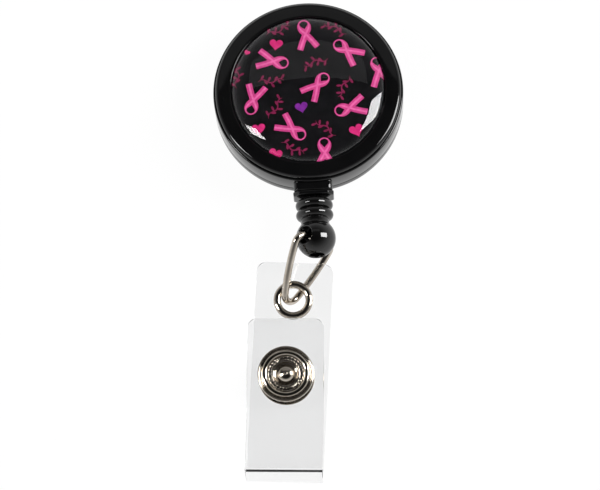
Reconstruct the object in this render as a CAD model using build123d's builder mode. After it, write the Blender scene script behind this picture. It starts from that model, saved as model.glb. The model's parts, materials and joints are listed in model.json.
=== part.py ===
"""Retractable badge reel: round casing with spring-wound cord, ball end, wire loop, strap with snap, belt clip.

Millimetres. +Z is up, out of the printed face. The reel's axis is X = Y = 0, the cord leaves along -Y, and
Z = 0 is the flat outer face of the belt clip, which the reel lies on.
"""

import os
from math import acos, cos, degrees, hypot, pi, radians, sin, sqrt, tan

from build123d import *

# ---------------------------------------------------------------- driving dimensions

# casing
back_z = 3.7                # outer back face of the casing
seam_z = 5.8                # where the two shells meet
wall_top_z = 9.8            # top of the front shell's plain side wall
groove_top_z = 10.05        # shadow groove between side wall and bezel
bezel_top_z = 10.8
case_r = 15.8
bezel_r = 15.45
groove_r = 15.2
shell_wall = 1.2
back_edge_r = 0.8           # rounding round the back face
bezel_outer_r = 0.7         # rounding of the bezel's outer edge
bezel_inner_r = 0.15
wall_top_r = 0.25
seam_clearance = 0.05
bore_clearance = 0.02       # round a part that is fixed in its hole
floor_t = 1.1
ceiling_z = 9.0             # inner face of the front shell's plate
label_seat_z = 10.2
label_seat_r = 12.85
lip_t = 0.5                 # locating lip of the back shell inside the front shell
lip_h = 0.6

# label and dome
label_r = 12.7
label_t = 0.15
dome_gap = 0.05
dome_edge_t = 0.15
dome_h = 2.2
dome_shoulder_r = 11.2       # the dome's edge rolls over outside this radius
dome_shoulder_h = 1.19
dome_foot_chamfer = 0.08

# centre post, rivet and spool
post_r = 1.9
post_top_z = 8.85
spring_slot_len = 1.6       # slot in the post that holds the spring's inner end
spring_slot_w = 0.4
spring_slot_h = 3.3
steady_ring_w = 0.5         # ring on the ceiling round the post's top
steady_ring_h = 0.18
rivet_r = 1.0
rivet_head_r = 1.9
running_clearance = 0.06
spool_bottom_z = 4.95
spool_top_z = 8.75
flange_t = 0.55
flange_r = 12.6
cup_inner_r = 7.6
cup_outer_r = 8.2
winding_r = 11.1
winding_clearance = 0.05
window_r = 1.1              # lightening windows in the upper flange
window_circle_r = 5.0
window_count = 6
cord_r = 0.375

# power spring
strip_t = 0.2
spring_inner_r = 2.35
spring_outer_r = 7.35
spring_turns = 9
strip_w = 2.8               # height of the spring strip
strip_lift = 0.2            # its clearance above the spool's lower face
hook_len = 1.2              # inner end, hooked into the post

# nozzle and cord guide
axis_z = 6.5                # height of the cord's straight exit
tab_half_w = 3.2
tab_low_z = 3.95
tab_top_z = 9.2
tab_end_y = -17.0
tab_corner_r = 0.8
guide_r = 1.4
guide_bore_r = 0.55
guide_start_y = -15.1
guide_seat_len = 5.0
guide_mouth_chamfer = 0.3
collar_t = 0.7
collar_half_w = 3.35
collar_half_h = 2.45
collar_chamfer = 0.9
collar_edge_r = 0.25
collar_gap = 0.02

# ball end
rib_y = [-19.0, -20.7]
rib_major_r = 2.25
rib_minor_r = 0.85
neck_r = 2.35
ball_y = -24.7
ball_r = 3.3
neck_bore_r = 0.6
ball_bore_r = 1.25
knot_y = -21.2              # shoulder that the knot pulls against
knot_r = 1.05
knot_half_len = 0.95
knot_gap = 0.02
neck_start_y = -18.36
cross_hole_r = 1.4

# wire loop, in its own plane: across the bar and down from it
wire_r = 0.6
loop_half_w = 4.2
loop_len = 11.4
loop_corner_r = 1.4
loop_apex_r = 1.6
loop_side_r = 36.0
loop_roll = 51.0            # bar's tilt about the cord's axis
loop_drop = 35.0            # droop of the loop's length below the cord's axis
wire_gap = 0.1              # half the gap where the wire's ends meet inside the ball

# strap
strap_w = 12.7
strap_t = 0.5
eyelet_at = Vector(-4.3, -34.05, 2.87)
strap_tilt = 5.3
strap_yaw = -5.6
leaf_skew = 2.3             # the front leaf's turn from the back leaf, taken up by the fold
eyelet_to_top = 6.3
eyelet_to_fold = 28.6
fold_r = 2.75               # half the height between the leaves' middle planes at the fold
fold_foot = 1.95            # from the leaves' ends out to the foot of the fold's leaning wall
fold_crest = 0.8            # and out to its crest, which is the crease the strap opens at
fold_corner_r = 0.5
leaf_gap = 2.4              # between the leaves' middle planes at the snap
fold_to_free_end = 25.0
leaf_corner_r = 1.6
fold_joint_gap = 0.16
# the front leaf comes down from the fold between these distances, then lies flat
leaf_drop_start = 1.6
leaf_drop_end = 9.6
leaf_bend_r = 3.0

# eyelet
eyelet_hole_r = 2.05
eyelet_barrel_r = 2.35
eyelet_flange_r = 3.25
eyelet_flange_t = 0.36
eyelet_rim_r = 0.3

# snap fastener
snap_from_eyelet = 13.0
snap_offset = -0.5
snap_r = 4.65
snap_post_r = 1.95
snap_well_r = 1.55          # inner edge of the front ring
stud_r = 1.5
stud_plate_r = 3.4
socket_r = 3.9
socket_mouth_r = 1.75
socket_h = 1.15
spring_wire_w = 0.35
spring_wire_len = 4.6
spring_wire_offset = 1.85
cap_r = 4.65
cap_bore_r = 1.6

# belt clip
clip_w = 9.0
clip_t = 0.7
clip_bend_y = 11.0
clip_plate_end_y = -6.5
clip_corner_r = 2.5
clip_leaf_gap = 0.2         # lets the leaf turn its full range clear of the bend
leaf_flat_end_y = -4.0      # the leaf rises from here to its crest, then dips to its tip
leaf_crest_y = -9.6
leaf_crest_h = 1.0
leaf_tip_y = -13.2
leaf_tip_h = 0.1


# ---------------------------------------------------------------- frames

def leaf_plane(origin, yaw, tilt):
    """Plane lying in a strap leaf: X across it, Y towards its eyelet end, Z out of its upper face."""
    across = Vector(1, 0, 0).rotate(Axis.Z, yaw)
    normal = Vector(0, 0, 1).rotate(Axis((0, 0, 0), across), tilt)
    return Plane(origin=origin, x_dir=across, z_dir=normal)


def turned(plane, origin, angle):
    """The same plane moved to origin and turned about its normal."""
    across = plane.x_dir.rotate(Axis((0, 0, 0), plane.z_dir), angle)
    return Plane(origin=origin, x_dir=across, z_dir=plane.z_dir)


def side_plane(leaf):
    """Plane through a leaf's middle seen edge on: X along the leaf, Y out of its upper face."""
    return Plane(origin=leaf.origin, x_dir=leaf.y_dir, z_dir=leaf.x_dir)


def axial_plane(y):
    """Plane across the cord's axis at height axis_z, facing the strap."""
    return Plane(origin=(0, y, axis_z), x_dir=(1, 0, 0), z_dir=(0, -1, 0))


cord_profile_plane = Plane(origin=(0, 0, axis_z), x_dir=(1, 0, 0), z_dir=(0, 0, 1))
cord_axis = Axis(origin=(0, 0, axis_z), direction=(0, 1, 0))
roll = radians(loop_roll)
drop = radians(loop_drop)
bar_dir = Vector(cos(roll), 0, -sin(roll))
loop_dir = Vector(-sin(roll) * sin(drop), -cos(drop), -cos(roll) * sin(drop))
ball_centre = Vector(0, ball_y, axis_z)
loop_plane = Plane(origin=ball_centre, x_dir=bar_dir, z_dir=bar_dir.cross(loop_dir * -1))

back_plane = leaf_plane(eyelet_at, strap_yaw, strap_tilt)
fold_centre = back_plane.from_local_coords(Vector(0, -eyelet_to_fold, fold_r))
fold_plane = turned(back_plane, fold_centre, leaf_skew / 2)
front_plane = turned(back_plane, fold_centre, leaf_skew)
snap_plane = Plane(
    origin=back_plane.from_local_coords(Vector(snap_offset, -snap_from_eyelet, 0)),
    x_dir=back_plane.x_dir,
    z_dir=back_plane.z_dir,
)
front_low_h = leaf_gap - fold_r        # the front leaf's flat stretch, from the fold's centre


def save(part, name):
    part.part.label = name
    export_step(part.part, f"parts/{name}.step")


os.makedirs("parts", exist_ok=True)

# ---------------------------------------------------------------- casing

inner_r = case_r - shell_wall
lip_outer_r = inner_r + lip_t

with BuildPart() as back_shell:
    with BuildSketch(Plane.XY.offset(back_z)):
        Circle(case_r)
    extrude(amount=seam_z - back_z)
    fillet(back_shell.faces().sort_by(Axis.Z)[0].edges(), back_edge_r)
    with BuildSketch(axial_plane(tab_end_y)) as tab_outline:
        with Locations((0, (tab_low_z + tab_top_z) / 2 - axis_z)):
            Rectangle(2 * tab_half_w, tab_top_z - tab_low_z)
        fillet(tab_outline.vertices(), tab_corner_r)
    extrude(amount=-(abs(tab_end_y) - inner_r))
    with BuildSketch(Plane.XY.offset(seam_z)):
        Rectangle(4 * case_r, 4 * case_r)
    extrude(amount=case_r, mode=Mode.SUBTRACT)
    with BuildSketch(Plane.XY.offset(seam_z)):
        Circle(lip_outer_r - seam_clearance)
        Circle(inner_r, mode=Mode.SUBTRACT)
        with Locations((0, -case_r)):
            Rectangle(3 * guide_r, case_r, mode=Mode.SUBTRACT)
    extrude(amount=lip_h)
    with BuildSketch(Plane.XY.offset(back_z + floor_t)):
        Circle(inner_r)
    extrude(amount=seam_z - back_z, mode=Mode.SUBTRACT)
    # centre post, which the spool turns on and the power spring is hooked to
    with BuildSketch(Plane.XY.offset(back_z + floor_t)):
        Circle(post_r)
    extrude(amount=post_top_z - back_z - floor_t)
    with BuildSketch(Plane.XY.offset(back_z + floor_t)):
        with Locations((post_r, 0)):
            Rectangle(spring_slot_len, spring_slot_w)
    extrude(amount=spring_slot_h, mode=Mode.SUBTRACT)
    Cylinder(rivet_r + bore_clearance, 4 * post_top_z, mode=Mode.SUBTRACT)
    # seat for the cord guide
    with BuildSketch(axial_plane(tab_end_y - 1)):
        Circle(guide_r + bore_clearance)
    extrude(amount=-guide_seat_len, mode=Mode.SUBTRACT)
save(back_shell, "back_shell")

with BuildPart() as front_shell:
    with BuildSketch(Plane.XZ):
        with BuildLine():
            Polyline(
                (0, label_seat_z),
                (label_seat_r, label_seat_z),
                (label_seat_r, bezel_top_z),
                (bezel_r, bezel_top_z),
                (bezel_r, groove_top_z),
                (groove_r, groove_top_z),
                (groove_r, wall_top_z),
                (case_r, wall_top_z),
                (case_r, seam_z),
                (lip_outer_r, seam_z),
                (lip_outer_r, seam_z + lip_h + seam_clearance),
                (inner_r, seam_z + lip_h + seam_clearance),
                (inner_r, ceiling_z),
                (0, ceiling_z),
                close=True,
            )
        make_face()
    revolve(axis=Axis.Z)
    fillet(front_shell.edges().filter_by(GeomType.CIRCLE).group_by(Axis.Z)[-1].sort_by(SortBy.RADIUS)[-1], bezel_outer_r)
    fillet(front_shell.edges().filter_by(GeomType.CIRCLE).group_by(Axis.Z)[-1].sort_by(SortBy.RADIUS)[0], bezel_inner_r)
    wall_edge = front_shell.edges().filter_by(GeomType.CIRCLE).filter_by_position(
        Axis.Z, wall_top_z - 0.01, wall_top_z + 0.01
    )
    fillet(wall_edge.sort_by(SortBy.RADIUS)[-1], wall_top_r)
    with BuildSketch(axial_plane(tab_end_y)) as tab_outline:
        with Locations((0, (tab_low_z + tab_top_z) / 2 - axis_z)):
            Rectangle(2 * tab_half_w, tab_top_z - tab_low_z)
        fillet(tab_outline.vertices(), tab_corner_r)
        with Locations((0, seam_z - axis_z - tab_top_z / 2)):
            Rectangle(4 * tab_half_w, tab_top_z, mode=Mode.SUBTRACT)
    extrude(amount=-(abs(tab_end_y) - lip_outer_r))
    # ring that steadies the top of the centre post
    with BuildSketch(Plane.XY.offset(ceiling_z)):
        Circle(post_r + seam_clearance + steady_ring_w)
        Circle(post_r + seam_clearance, mode=Mode.SUBTRACT)
    extrude(amount=-steady_ring_h)
    # seat for the cord guide, open towards the seam
    with BuildSketch(axial_plane(tab_end_y - 1)):
        Circle(guide_r + bore_clearance)
        with Locations((0, (seam_z - axis_z) / 2)):
            Rectangle(2 * (guide_r + bore_clearance), axis_z - seam_z)
    extrude(amount=-guide_seat_len, mode=Mode.SUBTRACT)
save(front_shell, "front_shell")

with BuildPart() as label_disc:
    with BuildSketch(Plane.XY.offset(label_seat_z)):
        Circle(label_r)
    extrude(amount=label_t)
save(label_disc, "label_disc")

dome_base_z = label_seat_z + label_t + dome_gap
with BuildPart() as dome_lens:
    with BuildSketch(Plane.XZ):
        with BuildLine():
            Line((0, dome_base_z), (label_r - dome_foot_chamfer, dome_base_z))
            Line((label_r - dome_foot_chamfer, dome_base_z), (label_r, dome_base_z + dome_foot_chamfer))
            Line((label_r, dome_base_z + dome_foot_chamfer), (label_r, dome_base_z + dome_edge_t))
            Spline(
                (label_r, dome_base_z + dome_edge_t),
                (dome_shoulder_r, dome_base_z + dome_shoulder_h),
                (0, dome_base_z + dome_h),
                tangents=((-0.2, 1), (-1, 0)),
            )
            Line((0, dome_base_z + dome_h), (0, dome_base_z))
        make_face()
    revolve(axis=Axis.Z)
save(dome_lens, "dome_lens")

with BuildPart() as cord_guide:
    with BuildSketch(axial_plane(guide_start_y)):
        Circle(guide_r)
    extrude(amount=guide_start_y - tab_end_y + collar_t / 2)
    with BuildSketch(axial_plane(tab_end_y - collar_gap)) as collar_outline:
        Rectangle(2 * collar_half_w, 2 * collar_half_h)
        chamfer(collar_outline.vertices(), collar_chamfer)
    extrude(amount=collar_t)
    fillet(cord_guide.faces().sort_by(Axis.Y)[0].edges(), collar_edge_r)
    with BuildSketch(axial_plane(guide_start_y + 1)):
        Circle(guide_bore_r)
    extrude(amount=2 * guide_seat_len, mode=Mode.SUBTRACT)
    chamfer(cord_guide.faces().sort_by(Axis.Y)[-1].edges().sort_by(SortBy.RADIUS)[0], guide_mouth_chamfer)
save(cord_guide, "cord_guide")

# ---------------------------------------------------------------- spool, spring and cord

with BuildPart() as spool:
    with BuildSketch(Plane.XZ):
        with BuildLine():
            Polyline(
                (post_r + running_clearance, spool_top_z - flange_t),
                (post_r + running_clearance, spool_top_z),
                (flange_r, spool_top_z),
                (flange_r, spool_top_z - flange_t),
                (cup_outer_r, spool_top_z - flange_t),
                (cup_outer_r, spool_bottom_z + flange_t),
                (flange_r, spool_bottom_z + flange_t),
                (flange_r, spool_bottom_z),
                (cup_inner_r, spool_bottom_z),
                (cup_inner_r, spool_top_z - flange_t),
                close=True,
            )
        make_face()
    revolve(axis=Axis.Z)
    with BuildSketch(Plane.XY.offset(spool_top_z)):
        with PolarLocations(window_circle_r, window_count):
            Circle(window_r)
    extrude(amount=-2 * flange_t, mode=Mode.SUBTRACT)
save(spool, "spool")

# the spiral is made of half circles whose centres alternate either side of the axis
spring_pitch = (spring_outer_r - spring_inner_r) / spring_turns
with BuildPart() as power_spring:
    with BuildSketch(Plane.XY.offset(spool_bottom_z + strip_lift)):
        with BuildLine():
            for edge_offset in (strip_t / 2, -strip_t / 2):
                for half_turn in range(2 * spring_turns):
                    radius = spring_inner_r + (half_turn + 0.5) * spring_pitch / 2 + edge_offset
                    side = 1 if half_turn % 2 == 0 else -1
                    centre_x = -side * spring_pitch / 4
                    CenterArc((centre_x, 0), radius, 0 if side == 1 else 180, 180)
            Line((spring_inner_r - strip_t / 2, 0), (spring_inner_r + strip_t / 2, 0))
            Line((spring_outer_r - strip_t / 2, 0), (spring_outer_r + strip_t / 2, 0))
        make_face()
    extrude(amount=strip_w)
    with BuildSketch(Plane.XY.offset(spool_bottom_z + strip_lift)):
        with Locations((spring_inner_r + strip_t / 2 - hook_len / 2, -strip_t / 2)):
            Rectangle(hook_len, strip_t)
    extrude(amount=strip_w)
save(power_spring, "power_spring")

with BuildPart() as cord_winding:
    with BuildSketch(Plane.XY.offset(spool_bottom_z + flange_t + winding_clearance)):
        Circle(winding_r)
        Circle(cup_outer_r + bore_clearance, mode=Mode.SUBTRACT)
    extrude(amount=spool_top_z - spool_bottom_z - 2 * (flange_t + winding_clearance))
save(cord_winding, "cord_winding")

# the cord leaves the winding along its tangent and turns into the guide
turn_y = -13.6
straight_in_guide = 2.0     # straight cord between its bend and the casing's mouth
leave_r = winding_r + cord_r + winding_clearance
leave_angle = acos(leave_r / abs(turn_y))
cord_start = (-leave_r * sin(leave_angle), -leave_r * cos(leave_angle))
cord_turn = pi / 2 - leave_angle
cord_bend_r = (abs(tab_end_y) - abs(turn_y) - straight_in_guide) / tan(cord_turn / 2)
with BuildPart() as cord_lead:
    with BuildLine(cord_profile_plane) as cord_path:
        FilletPolyline(cord_start, (0, turn_y), (0, knot_y + knot_gap), radius=cord_bend_r)
    with BuildSketch(Plane(origin=cord_path.line @ 0, z_dir=cord_path.line % 0)):
        Circle(cord_r)
    sweep()
print(f"cord bend: turn {degrees(cord_turn):.1f} deg, radius {cord_bend_r:.2f} mm")
save(cord_lead, "cord_lead")

# ---------------------------------------------------------------- ball end, knot and wire loop

with BuildPart() as ball_end:
    with BuildSketch(axial_plane(neck_start_y)):
        Circle(neck_r)
    extrude(amount=abs(ball_y) - abs(rib_y[0]))
    with BuildSketch(cord_profile_plane):
        for y in rib_y:
            with Locations((rib_major_r, y)):
                Circle(rib_minor_r)
        with Locations((0, ball_y)):
            Circle(ball_r)
        with Locations((-2 * ball_r, ball_y)):
            Rectangle(4 * ball_r, 4 * ball_r, mode=Mode.SUBTRACT)
    revolve(axis=cord_axis)
    with BuildSketch(axial_plane(0)):
        Circle(neck_bore_r)
    extrude(amount=abs(ball_y), mode=Mode.SUBTRACT)
    with BuildSketch(axial_plane(knot_y)):
        Circle(ball_bore_r)
    extrude(amount=abs(ball_y), mode=Mode.SUBTRACT)
    with BuildSketch(Plane(origin=ball_centre, z_dir=bar_dir)):
        Circle(cross_hole_r)
    extrude(amount=2 * ball_r, both=True, mode=Mode.SUBTRACT)
save(ball_end, "ball_end")

with BuildPart() as cord_knot:
    with BuildSketch(cord_profile_plane):
        with Locations((0, knot_y - knot_half_len)):
            Ellipse(knot_r, knot_half_len)
        with Locations((-2 * knot_r, knot_y)):
            Rectangle(4 * knot_r, 8 * knot_half_len, mode=Mode.SUBTRACT)
    revolve(axis=cord_axis)
    split(bisect_by=Plane(origin=(0, knot_y - knot_gap, axis_z), z_dir=(0, -1, 0)), keep=Keep.TOP)
save(cord_knot, "cord_knot")

# each side of the loop is one large arc that touches the corner arc and the apex arc from outside
corner = Vector(loop_half_w - loop_corner_r, -loop_corner_r)
apex = Vector(0, -(loop_len - loop_apex_r))
span = (apex - corner).length
reach_corner = loop_side_r - loop_corner_r
reach_apex = loop_side_r - loop_apex_r
along = (reach_corner**2 - reach_apex**2 + span**2) / (2 * span)
inward = sqrt(reach_corner**2 - along**2)
chord = (apex - corner).normalized()
side_centre = corner + chord * along + Vector(chord.Y, -chord.X) * inward
side_start = side_centre + (corner - side_centre).normalized() * loop_side_r
side_end = side_centre + (apex - side_centre).normalized() * loop_side_r
side_mid = side_centre + (side_start + side_end - side_centre * 2).normalized() * loop_side_r
corner_mid = corner + ((side_start - corner).normalized() + Vector(0, 1)).normalized() * loop_corner_r


def on_side(point, side):
    """A point of the loop's right-hand side (side 1) or of its mirror image (side -1)."""
    return (side * point.X, point.Y)


with BuildPart() as wire_loop:
    with BuildLine(loop_plane) as wire_path:
        for side in (1, -1):
            Line((side * wire_gap, 0), (side * corner.X, 0))
            ThreePointArc((side * corner.X, 0), on_side(corner_mid, side), on_side(side_start, side))
            ThreePointArc(on_side(side_start, side), on_side(side_mid, side), on_side(side_end, side))
        ThreePointArc(on_side(side_end, 1), (0, -loop_len), on_side(side_end, -1))
    with BuildSketch(Plane(origin=loop_plane.from_local_coords(Vector(wire_gap, 0)), z_dir=bar_dir)):
        Circle(wire_r)
    sweep(path=wire_path.wire())
save(wire_loop, "wire_loop")

# ---------------------------------------------------------------- strap

with BuildPart() as strap_back_leaf:
    with BuildSketch(back_plane) as back_outline:
        back_len = eyelet_to_top + eyelet_to_fold - fold_joint_gap
        with Locations((0, eyelet_to_top - back_len / 2)):
            Rectangle(strap_w, back_len)
        fillet(back_outline.vertices().group_by(Axis.Y)[-1], leaf_corner_r)
        Circle(eyelet_barrel_r + bore_clearance, mode=Mode.SUBTRACT)
        with Locations((snap_offset, -snap_from_eyelet)):
            Circle(snap_post_r + bore_clearance, mode=Mode.SUBTRACT)
    extrude(amount=strap_t / 2, both=True)
save(strap_back_leaf, "strap_back_leaf")

with BuildPart() as strap_fold:
    with BuildSketch(side_plane(fold_plane)):
        with BuildLine():
            FilletPolyline(
                (0, -fold_r),
                (-fold_foot, -fold_r),
                (-fold_crest, fold_r),
                (0, fold_r),
                radius=(fold_corner_r, fold_corner_r),
            )
        trace(line_width=strap_t)
    extrude(amount=strap_w / 2, both=True)
save(strap_fold, "strap_fold")

with BuildPart() as strap_front_leaf:
    with BuildSketch(side_plane(front_plane)):
        with BuildLine():
            FilletPolyline(
                (fold_joint_gap, fold_r),
                (leaf_drop_start, fold_r),
                (leaf_drop_end, front_low_h),
                (fold_to_free_end, front_low_h),
                radius=(leaf_bend_r, leaf_bend_r),
            )
        trace(line_width=strap_t)
    extrude(amount=strap_w / 2, both=True)
    end_edges = strap_front_leaf.edges().filter_by(Axis((0, 0, 0), front_plane.z_dir))
    fillet(end_edges.sort_by(Axis(fold_centre, front_plane.y_dir))[-2:], leaf_corner_r)
    with BuildSketch(snap_plane):
        Circle(snap_post_r + bore_clearance)
    extrude(amount=2 * leaf_gap, mode=Mode.SUBTRACT)
save(strap_front_leaf, "strap_front_leaf")

# ---------------------------------------------------------------- eyelet


def revolve_plane(leaf):
    """Plane through a leaf's normal: X radial, Y along the normal."""
    return Plane(origin=leaf.origin, x_dir=leaf.x_dir, z_dir=leaf.y_dir * -1)


def normal_axis(leaf):
    return Axis(origin=leaf.origin, direction=leaf.z_dir)


half_t = strap_t / 2
with BuildPart() as strap_eyelet:
    with BuildSketch(revolve_plane(back_plane)) as eyelet_section:
        with Locations(((eyelet_hole_r + eyelet_barrel_r) / 2, 0)):
            Rectangle(eyelet_barrel_r - eyelet_hole_r, strap_t + 2 * eyelet_flange_t)
        with Locations(((eyelet_hole_r + eyelet_flange_r) / 2, half_t + eyelet_flange_t / 2)):
            Rectangle(eyelet_flange_r - eyelet_hole_r, eyelet_flange_t)
        fillet(eyelet_section.vertices().group_by(Axis.Y)[-1], eyelet_rim_r)
    revolve(axis=normal_axis(back_plane))
save(strap_eyelet, "strap_eyelet")

with BuildPart() as eyelet_washer:
    with BuildSketch(revolve_plane(back_plane)):
        washer_hole_r = eyelet_barrel_r + bore_clearance
        with Locations(((washer_hole_r + eyelet_flange_r) / 2, -half_t - eyelet_flange_t / 2)):
            Rectangle(eyelet_flange_r - washer_hole_r, eyelet_flange_t)
    revolve(axis=normal_axis(back_plane))
save(eyelet_washer, "eyelet_washer")

# ---------------------------------------------------------------- snap fastener

front_h = leaf_gap              # middle of the front leaf above the middle of the back leaf
front_top_h = front_h + half_t
front_under_h = front_h - half_t

with BuildPart() as snap_front_ring:
    with BuildSketch(revolve_plane(snap_plane)):
        with BuildLine():
            Polyline(
                (snap_well_r, front_under_h - seam_clearance),
                (snap_post_r, front_under_h - seam_clearance),
                (snap_post_r, front_top_h),
                (snap_r - 0.25, front_top_h),
                (snap_r, front_top_h + 0.3),
                (snap_r, front_top_h + 0.6),
                (snap_r - 0.35, front_top_h + 0.9),
                (snap_r - 0.75, front_top_h + 0.75),
                (snap_r - 0.95, front_top_h + 0.35),
                (3.35, front_top_h + 0.4),
                (3.1, front_top_h + 0.7),
                (2.6, front_top_h + 0.55),
                (2.3, front_top_h + 0.5),
                (1.85, front_top_h + 0.2),
                (snap_well_r, front_top_h),
                close=True,
            )
        make_face()
    revolve(axis=normal_axis(snap_plane))
save(snap_front_ring, "snap_front_ring")

with BuildPart() as snap_stud:
    with BuildSketch(revolve_plane(snap_plane)):
        with BuildLine():
            Polyline(
                (0, half_t + 0.5),
                (stud_r - 0.3, half_t + 0.55),
                (stud_r, half_t + 0.8),
                (stud_r, half_t + 1.1),
                (stud_r - 0.15, half_t + 1.3),
                (stud_r - 0.15, front_under_h - 0.55),
                (stud_plate_r, front_under_h - 0.45),
                (stud_plate_r, front_under_h - 0.08),
                (stud_r, front_under_h - 0.08),
                (stud_r, front_top_h - 0.1),
                (stud_r - 0.5, front_top_h + 0.45),
                (0, front_top_h + 0.62),
                close=True,
            )
        make_face()
    revolve(axis=normal_axis(snap_plane))
save(snap_stud, "snap_stud")

with BuildPart() as snap_socket:
    with BuildSketch(revolve_plane(snap_plane)):
        with BuildLine():
            Polyline(
                (snap_post_r + seam_clearance, half_t),
                (socket_r - 0.3, half_t),
                (socket_r, half_t + 0.3),
                (socket_r, half_t + 0.8),
                (socket_r - 0.3, half_t + socket_h),
                (socket_mouth_r, half_t + socket_h),
                (socket_mouth_r, half_t + 0.85),
                (socket_r - 0.6, half_t + 0.85),
                (socket_r - 0.6, half_t + 0.3),
                (snap_post_r + seam_clearance, half_t + 0.3),
                close=True,
            )
        make_face()
    revolve(axis=normal_axis(snap_plane))
save(snap_socket, "snap_socket")

with BuildPart() as snap_spring:
    with BuildSketch(Plane(origin=snap_plane.origin + snap_plane.z_dir * (half_t + 0.45),
                           x_dir=snap_plane.x_dir, z_dir=snap_plane.z_dir)):
        for side in (1, -1):
            with Locations((0, side * spring_wire_offset)):
                SlotOverall(spring_wire_len, spring_wire_w)
    extrude(amount=0.3)
save(snap_spring, "snap_spring")

with BuildPart() as snap_cap:
    with BuildSketch(revolve_plane(snap_plane)):
        with BuildLine():
            Polyline(
                (0, -half_t - 0.95),
                (cap_r - 0.9, -half_t - 0.8),
                (cap_r - 0.15, -half_t - 0.45),
                (cap_r, -half_t - 0.2),
                (cap_r - 0.1, -half_t),
                (snap_post_r, -half_t),
                (snap_post_r, half_t + 0.22),
                (cap_bore_r, half_t + 0.22),
                (cap_bore_r, -half_t - 0.35),
                (0, -half_t - 0.35),
                close=True,
            )
        make_face()
    revolve(axis=normal_axis(snap_plane))
save(snap_cap, "snap_cap")

# ---------------------------------------------------------------- belt clip

clip_bend_r = (back_z - clip_t) / 2
clip_mid_z = back_z / 2
with BuildPart() as belt_clip_plate:
    with BuildSketch(Plane.YZ) as clip_section:
        with BuildLine():
            Line((clip_plate_end_y, back_z - clip_t / 2), (clip_bend_y, back_z - clip_t / 2))
            CenterArc((clip_bend_y, clip_mid_z), clip_bend_r, -90, 180)
        trace(line_width=clip_t)
    extrude(amount=clip_w / 2, both=True)
    fillet(belt_clip_plate.edges().filter_by(Axis.Z).sort_by(Axis.Y)[:2], clip_corner_r)
    with BuildSketch(Plane.XY.offset(back_z)):
        Circle(rivet_r + bore_clearance)
    extrude(amount=-clip_t, mode=Mode.SUBTRACT)
save(belt_clip_plate, "belt_clip_plate")

with BuildPart() as belt_clip_leaf:
    with BuildSketch(Plane.YZ):
        with BuildLine():
            FilletPolyline(
                (clip_bend_y - clip_leaf_gap, clip_t / 2),
                (leaf_flat_end_y, clip_t / 2),
                (leaf_crest_y, clip_t / 2 + leaf_crest_h),
                (leaf_tip_y, clip_t / 2 + leaf_tip_h),
                radius=(4.0, 3.0),
            )
        trace(line_width=clip_t)
    extrude(amount=clip_w / 2, both=True)
    corner_edges = belt_clip_leaf.edges().filter_by(lambda e: abs(e.tangent_at(0.5).X) < 0.01 and e.length < 2)
    fillet(corner_edges.sort_by(Axis.Y)[:2], clip_corner_r)
save(belt_clip_leaf, "belt_clip_leaf")

with BuildPart() as clip_rivet:
    with BuildSketch(Plane.XZ):
        with BuildLine():
            Polyline(
                (0, back_z - clip_t - 0.75),
                (1.1, back_z - clip_t - 0.65),
                (rivet_head_r, back_z - clip_t - 0.25),
                (rivet_head_r, back_z - clip_t),
                (rivet_r, back_z - clip_t),
                (rivet_r, post_top_z - 0.1),
                (0, post_top_z - 0.1),
                close=True,
            )
        make_face()
    revolve(axis=Axis.Z)
save(clip_rivet, "clip_rivet")

leaf_drop_len = hypot(leaf_drop_end - leaf_drop_start, fold_r - front_low_h)
front_len = leaf_drop_start + leaf_drop_len + fold_to_free_end - leaf_drop_end
fold_len = fold_foot + fold_crest + hypot(fold_foot - fold_crest, 2 * fold_r) - (4 - pi) * fold_corner_r
print(f"strap flat length: {eyelet_to_top + eyelet_to_fold + fold_len + front_len:.1f} mm")
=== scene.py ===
"""Visual model of the retractable badge reel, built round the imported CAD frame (metres, +Z up)."""

import json

import bmesh
import bpy
from math import acos, atan2, cos, dist, exp, log, pi, radians, sin, sqrt, tan
from mathutils import Matrix, Vector


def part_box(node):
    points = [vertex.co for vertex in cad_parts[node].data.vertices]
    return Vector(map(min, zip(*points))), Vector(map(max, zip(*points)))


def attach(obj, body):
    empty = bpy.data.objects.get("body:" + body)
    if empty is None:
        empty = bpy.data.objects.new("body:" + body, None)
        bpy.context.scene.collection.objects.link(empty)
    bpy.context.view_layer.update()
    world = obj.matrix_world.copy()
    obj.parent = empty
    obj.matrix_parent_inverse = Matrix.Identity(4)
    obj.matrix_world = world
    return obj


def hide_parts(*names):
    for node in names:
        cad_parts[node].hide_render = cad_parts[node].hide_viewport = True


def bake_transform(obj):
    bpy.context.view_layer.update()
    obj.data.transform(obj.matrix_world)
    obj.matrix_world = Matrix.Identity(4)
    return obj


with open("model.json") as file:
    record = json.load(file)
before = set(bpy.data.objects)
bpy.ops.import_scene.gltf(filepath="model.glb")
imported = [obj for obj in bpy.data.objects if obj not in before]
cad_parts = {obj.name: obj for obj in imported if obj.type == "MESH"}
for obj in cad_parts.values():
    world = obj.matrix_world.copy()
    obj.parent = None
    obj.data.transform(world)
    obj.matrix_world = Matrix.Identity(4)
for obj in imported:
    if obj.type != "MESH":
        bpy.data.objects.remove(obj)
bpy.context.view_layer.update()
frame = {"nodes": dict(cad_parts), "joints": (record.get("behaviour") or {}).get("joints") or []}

MM = 0.001
ON_AXIS = 1e-7              # a radius in metres too small to be a ring
joints = {joint["name"]: joint for joint in frame["joints"]}


def joint_point(name):
    return Vector(joints[name]["pos_m"])


def joint_axis(name):
    return Vector(joints[name]["axis"]).normalized()


# ---------------------------------------------------------------- places from the frame

eyelet_centre = joint_point("strap_swing")
strap_up = joint_axis("strap_swing")
fold_pivot = joint_point("strap_open")
fold_axis = joint_axis("strap_open")
ball_centre = joint_point("loop_pivot")
bar_axis = joint_axis("loop_pivot")

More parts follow.
